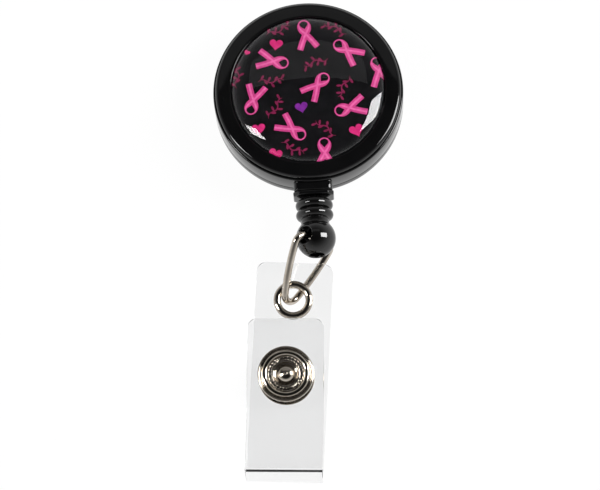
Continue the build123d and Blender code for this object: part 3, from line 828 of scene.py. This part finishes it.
RIB_PLACES = (19.0, 20.7)
RIB_MAJOR, RIB_MINOR = 2.25, 0.85
NECK_R = 2.35
BALL_AT, BALL_R = 24.7, 3.3
BALL_START = 18.15
NECK_BORE, BALL_BORE, KNOT_AT = 0.6, 1.25, 21.2
CROSS_HOLE = 1.4
BLEND_K = 0.09              # softness of the creases between neck, ribs and ball, in millimetres


def ball_radius(at):
    """Outer radius of the ball end at a distance along the cord."""
    values = []
    if BALL_START + 0.22 <= at <= BALL_AT:
        values.append(NECK_R)
    for rib in RIB_PLACES:
        if abs(at - rib) < RIB_MINOR:
            values.append(RIB_MAJOR + sqrt(RIB_MINOR ** 2 - (at - rib) ** 2))
    if abs(at - BALL_AT) < BALL_R:
        values.append(sqrt(BALL_R ** 2 - (at - BALL_AT) ** 2))
    if not values:
        return RIB_MAJOR
    top = max(values)
    return top + BLEND_K * log(sum(exp((v - top) / BLEND_K) for v in values))


def make_ball_end():
    lip = 0.22
    bore_exit = BALL_AT + sqrt(BALL_R ** 2 - (BALL_BORE + lip) ** 2)
    stations = [BALL_START + RIB_MINOR * (1 - cos(pi / 2 * k / 40)) for k in range(1, 41)]
    waist = (RIB_PLACES[0] + RIB_PLACES[1]) / 2
    neck_end = RIB_PLACES[1] + RIB_MINOR
    for low, high in ((RIB_PLACES[0], waist), (waist, RIB_PLACES[1]), (RIB_PLACES[1], neck_end), (neck_end, BALL_AT)):
        stations += [low + (high - low) * (1 - cos(pi * k / 30)) / 2 for k in range(1, 31)]
    last = acos(-(bore_exit - BALL_AT) / BALL_R) - pi / 2
    stations += [BALL_AT + BALL_R * sin(last * k / 36) for k in range(1, 37)]
    outline = [(NECK_BORE + 0.15, BALL_START), (RIB_MAJOR, BALL_START)]
    outline += [(ball_radius(at), at) for at in stations]
    # rounded mouth of the bore, then the bore itself
    outline += [(BALL_BORE + lip * (1 - sin(pi / 2 * k / 5)), bore_exit - lip * 0.9 * (1 - cos(pi / 2 * k / 5)))
                for k in range(1, 6)]
    outline += [(BALL_BORE, KNOT_AT), (NECK_BORE, KNOT_AT), (NECK_BORE, BALL_START + 0.15)]
    ball = lathe("ball_end_body", scaled(outline), cord_place)
    # the hole for the loop's bar, flared where it meets the ball's surface
    flare = 0.3
    mouth = sqrt(BALL_R ** 2 - (CROSS_HOLE + flare) ** 2)
    half = [(CROSS_HOLE, mouth - flare)]
    half += [(CROSS_HOLE + flare * (1 - cos(pi / 2 * k / 5)), mouth - flare + flare * 1.15 * sin(pi / 2 * k / 5))
             for k in range(1, 6)]
    half += [(CROSS_HOLE + flare, 2 * BALL_R)]
    cutter = [(0, -2 * BALL_R)] + [(r, -h) for r, h in reversed(half)] + half + [(0, 2 * BALL_R)]
    across = basis(ball_centre, Vector((0, 1, 0)), bar_axis)
    boolean(ball, [lathe("cutter", scaled(cutter), across, 96, closed=False)])
    smooth(ball, 35)
    finish_piece(ball, BALL, "ball", "ball_black", "ball_end")


make_ball_end()

WIRE_R = 0.6
LOOP_HALF_W, LOOP_LEN = 4.2, 11.4
LOOP_CORNER_R, LOOP_APEX_R, LOOP_SIDE_R = 1.4, 1.6, 36.0
LOOP_ROLL, LOOP_DROP = 51.0, 35.0
WIRE_GAP = 0.1


def make_wire_loop():
    roll, drop = radians(LOOP_ROLL), radians(LOOP_DROP)
    down = Vector((-sin(roll) * sin(drop), -cos(drop), -cos(roll) * sin(drop)))
    corner = Vector((LOOP_HALF_W - LOOP_CORNER_R, LOOP_CORNER_R))
    apex = Vector((0, LOOP_LEN - LOOP_APEX_R))
    span = (apex - corner).length
    to_corner, to_apex = LOOP_SIDE_R - LOOP_CORNER_R, LOOP_SIDE_R - LOOP_APEX_R
    along = (to_corner ** 2 - to_apex ** 2 + span ** 2) / (2 * span)
    inward = sqrt(to_corner ** 2 - along ** 2)
    chord = (apex - corner).normalized()
    side = corner + chord * along + Vector((-chord.y, chord.x)) * inward
    first = (corner - side).normalized()
    last = (apex - side).normalized()

    def swing(centre, radius, a, b, steps):
        turn = a.angle(b)
        return [centre + (a * sin(turn * (1 - k / steps)) + b * sin(turn * k / steps)) / sin(turn) * radius
                for k in range(steps + 1)]

    half = [Vector((WIRE_GAP + (corner.x - WIRE_GAP) * k / 6, 0)) for k in range(6)]
    half += swing(corner, LOOP_CORNER_R, Vector((0, -1)), first, 14)
    half += swing(side, LOOP_SIDE_R, first, last, 24)[1:]
    half += swing(apex, LOOP_APEX_R, last, Vector((0, 1)), 12)[1:]
    line = half + [Vector((-p.x, p.y)) for p in reversed(half[:-1])]
    points = [ball_centre + (bar_axis * p.x + down * p.y) * MM for p in line]
    loop = tube("wire_loop_body", points, WIRE_R * MM, 36)
    finish_piece(loop, NICKEL, "loop", "nickel", "wire_loop")


make_wire_loop()

CORD_R = 0.375
CORD_START = (-6.21, -9.8)
CORD_TURN_Y = -13.6
CORD_BEND_R = 2.5
CORD_STEP = 0.25


def make_cord_lead():
    corner = [(*CORD_START, CORD_Z / MM), (0, CORD_TURN_Y, CORD_Z / MM), (0, -KNOT_AT + 0.05, CORD_Z / MM)]
    line = subdivided(rounded(corner, CORD_BEND_R, steps=16, closed=False), CORD_STEP)
    lead = tube("cord_lead_body", scaled(line), CORD_R * MM, 20)
    paint(lead, CORD)
    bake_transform(lead)
    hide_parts("cord_lead")


make_cord_lead()


def make_winding():
    """Turns of cord lying side by side in two visible columns round the drum."""
    inner, outer, low, high = 8.24, 11.08, 5.56, 8.14
    rows, bulge, shoulder = 4, 0.36, 0.3
    height = (high - low) / rows
    outline = [(inner, low), (outer - shoulder, low)]
    for row in range(rows):
        for k in range(9):
            turn = pi * (k / 8 - 0.5)
            outline.append((outer - bulge + bulge * cos(turn), low + height * (row + 0.5 + 0.5 * sin(turn))))
    outline += [(outer - shoulder, high), (inner, high)]
    piece = lathe("cord_winding_body", scaled(outline), AXIS, smooth_angle=60)
    finish_piece(piece, CORD, "spool", "cord_black", "cord_winding")


make_winding()

RIVET_PROFILE = [((0, 2.25), 0), ((1.1, 2.33), 0.5), ((1.9, 2.72), 0.3), ((1.9, 3.0), 0.06), ((1.0, 3.0), 0.05),
                 ((1.0, 8.75), 0.15), ((0, 8.75), 0)]
rivet = lathe("clip_rivet_body", profile(RIVET_PROFILE), AXIS, 96, closed=False)
finish_piece(rivet, CLIP_STEEL, "casing", "clip_steel", "clip_rivet")

for node, material in (("spool", SPOOL_WHITE), ("power_spring", SPRING_STEEL), ("cord_knot", CORD)):
    paint(frame["nodes"][node], material)

# ---------------------------------------------------------------- strap

STRAP_W, STRAP_T = 12.7, 0.5
EYELET_TO_TOP, EYELET_TO_FOLD = 6.3, 28.6
FOLD_R, LEAF_GAP = 2.75, 2.4
FOLD_FOOT, FOLD_CREST = 1.95, 0.8       # how far the fold's wall stands out at its foot and at its crest
FOLD_CORNER = 0.5
FOLD_STEP = 0.22                        # length of the fold's short straight pieces
CREASE = Vector((0, -0.709, 2.638))     # from the fold's centre to the hinge line, in the crest's bend
LEAF_SKEW = 2.3
FREE_END = 25.0
LEAF_CORNER = 1.6
FRONT_LINE = [(0, FOLD_R), (1.6, FOLD_R), (9.6, LEAF_GAP - FOLD_R), (FREE_END, LEAF_GAP - FOLD_R)]
FRONT_BEND_R = 3.0
STRIP_EDGE = 0.12           # rounding along the edges of the strap and of the clip
ON_PLANE = 1e-6             # metres
EYELET_HOLE, EYELET_BARREL, EYELET_FLANGE, EYELET_FLANGE_T = 2.05, 2.35, 3.25, 0.36
SNAP_DOWN, SNAP_OFFSET = 13.0, -0.5
SNAP_POST = 1.95

fold_place = basis(fold_pivot, fold_axis, strap_up)
fold_centre = fold_place @ (CREASE * -MM)


def leaf_place(origin, turn):
    """Axes in a leaf at origin: X across, Y towards its upper end, Z out of the upper face."""
    across = Matrix.Rotation(radians(turn), 3, strap_up) @ fold_axis
    return basis(origin, across, strap_up)


back_place = leaf_place(eyelet_centre, -LEAF_SKEW / 2)
front_place = leaf_place(fold_centre, LEAF_SKEW / 2)
snap_place = leaf_place(back_place @ Vector((SNAP_OFFSET * MM, -SNAP_DOWN * MM, 0)), -LEAF_SKEW / 2)


def strip(name, stations, thickness, edge_r, relief=None, across_steps=24):
    """A strip through stations of (origin, across, normal, half width); relief(x, k) lifts its surface, in mm."""
    t = thickness / 2
    verts = []
    for k, (origin, across, normal, half) in enumerate(stations):
        ring = []
        for side in (1, -1):
            for i in range(across_steps + 1):
                x = side * (half - edge_r) * (1 - 2 * i / across_steps)
                ring.append((x, side * t))
            for i in range(1, 4):
                turn = pi / 2 - pi * i / 4
                ring.append((-side * (half - edge_r + edge_r * cos(turn)), side * t * sin(turn)))
        for x, y in ring:
            lift = relief(x, k) if relief else 0
            verts.append(origin + (across * x + normal * (y + lift)) * MM)
    return new_mesh(name, verts, ring_faces(len(stations), len(verts) // len(stations)), 40)


def along_line(line, places, halves, flip=1):
    """Stations along a (distance, height) line, each in its own place's YZ plane and with its own half width."""
    stations = []
    for k, ((a, h), place, half) in enumerate(zip(line, places, halves)):
        x, y, z = (Vector(place.col[i][:3]) for i in range(3))
        before, after = line[max(k - 1, 0)], line[min(k + 1, len(line) - 1)]
        da, dh = after[0] - before[0], after[1] - before[1]
        normal = (z * da - y * dh) / sqrt(da * da + dh * dh) * flip
        stations.append((place @ Vector((0, a * MM, h * MM)), x, normal, half))
    return stations


def end_rounding(distance, half=STRAP_W / 2, corner=LEAF_CORNER):
    """Half width of a strip at a distance from its rounded end."""
    if distance >= corner:
        return half
    return half - corner + sqrt(max(0, corner ** 2 - (corner - distance) ** 2))


def spaced(start, end, steps, ease=False):
    """Numbers from start to end, closer together near the start with ease."""
    shares = [k / steps for k in range(steps + 1)]
    return [start + (end - start) * (1 - cos(pi / 2 * t) if ease else t) for t in shares]


def drop_faces(obj, unwanted):
    work = bmesh.new()
    work.from_mesh(obj.data)
    bmesh.ops.delete(work, geom=[face for face in work.faces if unwanted(face)], context="FACES_ONLY")
    work.to_mesh(obj.data)
    work.free()


def drop_end_cap(obj, place, at):
    """Takes away the flat cap at distance `at` along place's Y, so that the next length of strip carries on."""
    inverse = place.inverted()
    drop_faces(obj, lambda face: all(abs((inverse @ v.co).y - at * MM) < ON_PLANE for v in face.verts))


def make_back_leaf():
    top = EYELET_TO_TOP
    line = [(top - d, 0) for d in spaced(0, LEAF_CORNER, 14, ease=True)]
    line += [(a, 0) for a in spaced(top - LEAF_CORNER, -EYELET_TO_FOLD, 40)[1:]]
    stations = along_line(line, [back_place] * len(line), [end_rounding(top - a) for a, _ in line], flip=-1)
    leaf = strip("strap_back_body", stations, STRAP_T, STRIP_EDGE)
    boolean(leaf, [cylinder(back_place, (EYELET_BARREL + EASE) * MM, -2 * MM, 2 * MM)])
    boolean(leaf, [cylinder(snap_place, (SNAP_POST + EASE) * MM, -2 * MM, LEAF_GAP / 2 * MM)])
    drop_end_cap(leaf, back_place, -EYELET_TO_FOLD)
    smooth(leaf, 40)
    finish_piece(leaf, VINYL, "strap", "vinyl_clear", "strap_back_leaf")


def make_front_leaf():
    line = rounded(FRONT_LINE, FRONT_BEND_R, steps=14, closed=False)[:-1]
    line += [(a, line[-1][1]) for a in spaced(line[-1][0], FREE_END - LEAF_CORNER, 16)[1:]]
    line += [(FREE_END - d, LEAF_GAP - FOLD_R) for d in reversed(spaced(0, LEAF_CORNER, 14, ease=True)[:-1])]
    stations = along_line(line, [front_place] * len(line), [end_rounding(FREE_END - a) for a, _ in line])
    leaf = strip("strap_front_body", stations, STRAP_T, STRIP_EDGE)
    boolean(leaf, [cylinder(snap_place, (SNAP_POST + EASE) * MM, LEAF_GAP / 2 * MM, 5 * MM)])
    drop_end_cap(leaf, front_place, 0)
    smooth(leaf, 40)
    finish_piece(leaf, VINYL, "front_leaf", "vinyl_clear", "strap_front_leaf")


def make_fold():
    """The bent length between the leaves, which turns smoothly from one leaf's line to the other's."""
    corners = rounded([(0, -FOLD_R), (-FOLD_FOOT, -FOLD_R), (-FOLD_CREST, FOLD_R), (0, FOLD_R)],
                      FOLD_CORNER, steps=14, closed=False)
    line = subdivided(corners, FOLD_STEP, round)
    lengths = run_lengths(line)
    places = [leaf_place(fold_centre, LEAF_SKEW * (length / lengths[-1] - 0.5)) for length in lengths]
    fold = strip("strap_fold_body", along_line(line, places, [STRAP_W / 2] * len(line)), STRAP_T, STRIP_EDGE)
    # both ends are left open, to carry on into the leaves
    drop_faces(fold, lambda face: len(face.verts) > 4)
    paint(fold, VINYL)
    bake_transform(fold)
    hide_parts("strap_fold")


make_back_leaf()
make_front_leaf()
make_fold()

# ---------------------------------------------------------------- eyelet and snap

HALF_T = STRAP_T / 2


def turned_nickel(name, outline, place, segments, body, node, closed=True):
    piece = lathe(name, outline, place, segments, closed, smooth_angle=45)
    finish_piece(piece, NICKEL, body, "nickel", node)


def eyelet_outline():
    """Barrel with a fully rounded rim on the upper face and a short rolled edge below."""
    rim = (EYELET_HOLE + EYELET_FLANGE) / 2
    half = (EYELET_FLANGE - EYELET_HOLE) / 2
    outline = [(EYELET_BARREL, -HALF_T - EYELET_FLANGE_T), (EYELET_HOLE + 0.08, -HALF_T - EYELET_FLANGE_T),
               (EYELET_HOLE, -HALF_T - EYELET_FLANGE_T + 0.1)]
    outline += [(rim + half * cos(pi * (1 - k / 20)), HALF_T + 0.06 + EYELET_FLANGE_T * 1.2 * sin(pi * k / 20))
                for k in range(21)]
    return scaled(outline + [(EYELET_FLANGE - 0.04, HALF_T + 0.01), (EYELET_BARREL, HALF_T + 0.01)])


WASHER_PROFILE = [
    ((EYELET_BARREL + 0.02, -HALF_T - EYELET_FLANGE_T + 0.06), 0.1), ((EYELET_BARREL + 0.02, -HALF_T), 0.02),
    ((EYELET_FLANGE, -HALF_T), 0.05), ((EYELET_FLANGE - 0.05, -HALF_T - EYELET_FLANGE_T + 0.08), 0.12),
]
turned_nickel("eyelet_body", eyelet_outline(), back_place, 128, "strap", "strap_eyelet")
turned_nickel("eyelet_washer_body", profile(WASHER_PROFILE), back_place, 128, "strap", "eyelet_washer")

SNAP_R = 4.65
TOP = LEAF_GAP + HALF_T
UNDER = LEAF_GAP - HALF_T
RING_PROFILE = [
    ((1.55, UNDER - 0.05), 0), ((SNAP_POST, UNDER - 0.05), 0), ((SNAP_POST, TOP), 0), ((SNAP_R - 0.2, TOP), 0.08),
    ((SNAP_R, TOP + 0.2), 0.12), ((SNAP_R, TOP + 0.52), 0.16), ((SNAP_R - 0.24, TOP + 0.64), 0.14),
    ((SNAP_R - 0.42, TOP + 0.4), 0.08), ((4.08, TOP + 0.4), 0.07), ((3.84, TOP + 0.86), 0.3),
    ((3.25, TOP + 0.96), 0.4), ((2.86, TOP + 0.42), 0.12), ((2.36, TOP + 0.4), 0.1),
    ((2.26, TOP + 0.64), 0.09), ((2.0, TOP + 0.62), 0.12), ((1.88, TOP + 0.1), 0.1), ((1.55, TOP), 0.05),
]
STUD_PROFILE = [
    ((0, HALF_T + 0.5), 0), ((1.25, HALF_T + 0.53), 0.2), ((1.5, HALF_T + 0.8), 0.15), ((1.5, HALF_T + 1.1), 0.12),
    ((1.35, HALF_T + 1.3), 0.1), ((1.35, UNDER - 0.55), 0.1), ((3.4, UNDER - 0.45), 0.1), ((3.4, UNDER - 0.08), 0.1),
    ((1.5, UNDER - 0.08), 0.05), ((1.5, TOP + 0.02), 0), ((1.5, TOP + 0.1), 0.05), ((1.42, TOP + 0.52), 0.5),
    ((0.98, TOP + 0.9), 0.5), ((0.42, TOP + 1.04), 0.4), ((0.3, TOP + 1.05), 0.03), ((0.22, TOP + 1.13), 0.06),
    ((0, TOP + 1.14), 0),
]
SOCKET_PROFILE = [
    ((SNAP_POST + 0.05, HALF_T), 0.03), ((3.6, HALF_T), 0.2), ((3.9, HALF_T + 0.3), 0.15), ((3.9, HALF_T + 0.8), 0.2),
    ((3.6, HALF_T + 1.15), 0.2), ((1.75, HALF_T + 1.15), 0.14), ((1.75, HALF_T + 0.85), 0.1),
    ((3.3, HALF_T + 0.85), 0.12), ((3.3, HALF_T + 0.3), 0.12), ((SNAP_POST + 0.05, HALF_T + 0.3), 0.03),
]
CAP_PROFILE = [
    ((0, -HALF_T - 0.95), 0), ((3.6, -HALF_T - 0.82), 1.2), ((4.55, -HALF_T - 0.42), 0.3), ((4.65, -HALF_T - 0.1), 0.1),
    ((4.55, -HALF_T), 0.03), ((SNAP_POST, -HALF_T), 0.03), ((SNAP_POST, HALF_T + 0.22), 0.05),
    ((1.6, HALF_T + 0.22), 0.05), ((1.6, -HALF_T - 0.35), 0.1), ((0, -HALF_T - 0.35), 0),
]


KNURLS = 28
KNURL_FROM, KNURL_TO, KNURL_LEVEL, KNURL_RISE = 2.33, 2.95, 0.42, 0.03
PRONG_TURNS, PRONG_AT = (128, -52), 2.62
PRONG_HALF_W, PRONG_HALF_LEN, PRONG_CORNER = 0.1, 0.42, 0.09


def make_snap_ring():
    ring = lathe("snap_ring_body", profile(RING_PROFILE), snap_place, 8 * KNURLS, smooth_angle=45)
    # shallow pressed ridges round the ring's floor
    inverse = snap_place.inverted()
    for vertex in ring.data.vertices:
        here = inverse @ vertex.co / MM
        radius = here.xy.length
        if KNURL_FROM < radius < KNURL_TO and abs(here.z - TOP - KNURL_LEVEL) < KNURL_RISE:
            lift = KNURL_RISE * sin(KNURLS * atan2(here.y, here.x) + 4 * radius)
            vertex.co += strap_up * lift * MM
    # two short slots where the ring's prongs are set
    cutters = []
    slot_outline = box_outline(PRONG_HALF_W, -PRONG_HALF_LEN, PRONG_HALF_LEN, PRONG_CORNER)
    for turn in PRONG_TURNS:
        slot_place = snap_place @ Matrix.Rotation(radians(turn), 4, "Z") @ Matrix.Translation((PRONG_AT * MM, 0, 0))
        cutters.append(soft_block("cutter", slot_place, lambda inset: slot_outline, TOP + 0.2, TOP + 1.2, 0, 0))
    boolean(ring, cutters)
    smooth(ring, 45)
    finish_piece(ring, NICKEL, "front_leaf", "nickel", "snap_front_ring")


make_snap_ring()
turned_nickel("snap_stud_body", profile(STUD_PROFILE), snap_place, 96, "front_leaf", "snap_stud", closed=False)
turned_nickel("snap_socket_body", profile(SOCKET_PROFILE), snap_place, 128, "strap", "snap_socket")
turned_nickel("snap_cap_body", profile(CAP_PROFILE), snap_place, 128, "strap", "snap_cap", closed=False)

# the two wires that grip the stud
GRIP_HALF_LEN, GRIP_OUT, GRIP_RISE, GRIP_R = 2.12, 1.85, 0.6, 0.15
wires = []
for side in (1, -1):
    left, right = (snap_place @ (Vector((x, side * GRIP_OUT, HALF_T + GRIP_RISE)) * MM)
                   for x in (-GRIP_HALF_LEN, GRIP_HALF_LEN))
    wires.append(tube("snap_spring_wire", [left + (right - left) * k / 8 for k in range(9)], GRIP_R * MM, 16))
spring = wires[0]
boolean(spring, [wires[1]], "UNION")
smooth(spring, 40)
finish_piece(spring, SPRING_STEEL, "strap", "spring_steel", "snap_spring")

# ---------------------------------------------------------------- belt clip

CLIP_HALF_W, CLIP_T = 4.5, 0.7
CLIP_PLATE_END = -6.5
CLIP_PLATE_Z, CLIP_LEAF_Z = 3.35, 0.35
CLIP_BACK = 12.5
CLIP_LINE = [(CLIP_PLATE_END, CLIP_PLATE_Z), (11.0, CLIP_PLATE_Z), (CLIP_BACK, CLIP_PLATE_Z),
             (CLIP_BACK, CLIP_LEAF_Z), (11.0, CLIP_LEAF_Z), (-4.0, CLIP_LEAF_Z), (-9.6, 1.35), (-13.2, 0.45)]
CLIP_RADII = [0, 0, 1.5, 1.5, 0, 4.0, 3.0, 0]
CLIP_ENDS = 2.5             # rounding of the strip's ends in plan
CLIP_STEP = 0.5
CLIP_HOLE_R = 1.02
RIB_START, RIB_END, RIB_HALF, RIB_RISE = -2.5, 8.5, 1.3, 0.32
RIB_RUN_OUT, RIB_SLOPE = 1.2, 0.7       # how softly the rib ends and how softly its sides fall


def make_clip():
    """Plate, bend and leaf of the clip in one strip, with a pressed rib down the leaf."""
    bend = rounded(CLIP_LINE, CLIP_RADII, steps=18, closed=False)
    # without the doubled points where two roundings meet
    bend = [p for k, p in enumerate(bend) if k == 0 or dist(p, bend[k - 1]) > 1e-4]
    line = subdivided(bend, CLIP_STEP)
    # finer steps where the two ends are rounded
    start_dir = (Vector(line[1]) - Vector(line[0])).normalized()
    end_dir = (Vector(line[-2]) - Vector(line[-1])).normalized()
    eased = spaced(0, CLIP_ENDS, 14, ease=True)
    head = [tuple(Vector(line[0]) + start_dir * d) for d in eased]
    tail = [tuple(Vector(line[-1]) + end_dir * d) for d in reversed(eased)]
    line = head + [p for p in line if min(dist(p, line[0]), dist(p, line[-1])) > CLIP_ENDS + 0.05] + tail
    lengths = run_lengths(line)
    halves = [end_rounding(min(length, lengths[-1] - length), CLIP_HALF_W, CLIP_ENDS) for length in lengths]
    stations = along_line(line, [AXIS] * len(line), halves)

    def relief(x, k):
        y, z = line[k]
        if z > CLIP_LEAF_Z + 0.65:
            return 0
        # normals point down here, so a negative lift presses the rib up, away from the belt's far side
        inside = ramp((y - RIB_START) / RIB_RUN_OUT) * ramp((RIB_END - y) / RIB_RUN_OUT)
        return -RIB_RISE * inside * ramp((RIB_HALF - abs(x)) / RIB_SLOPE)

    clip = strip("belt_clip_body", stations, CLIP_T, STRIP_EDGE, relief, across_steps=48)
    boolean(clip, [cylinder(AXIS, CLIP_HOLE_R * MM, 2.6 * MM, 4.2 * MM, 64)])
    smooth(clip, 40)
    paint(clip, CLIP_STEEL)
    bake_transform(clip)
    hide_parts("belt_clip_plate", "belt_clip_leaf")


make_clip()
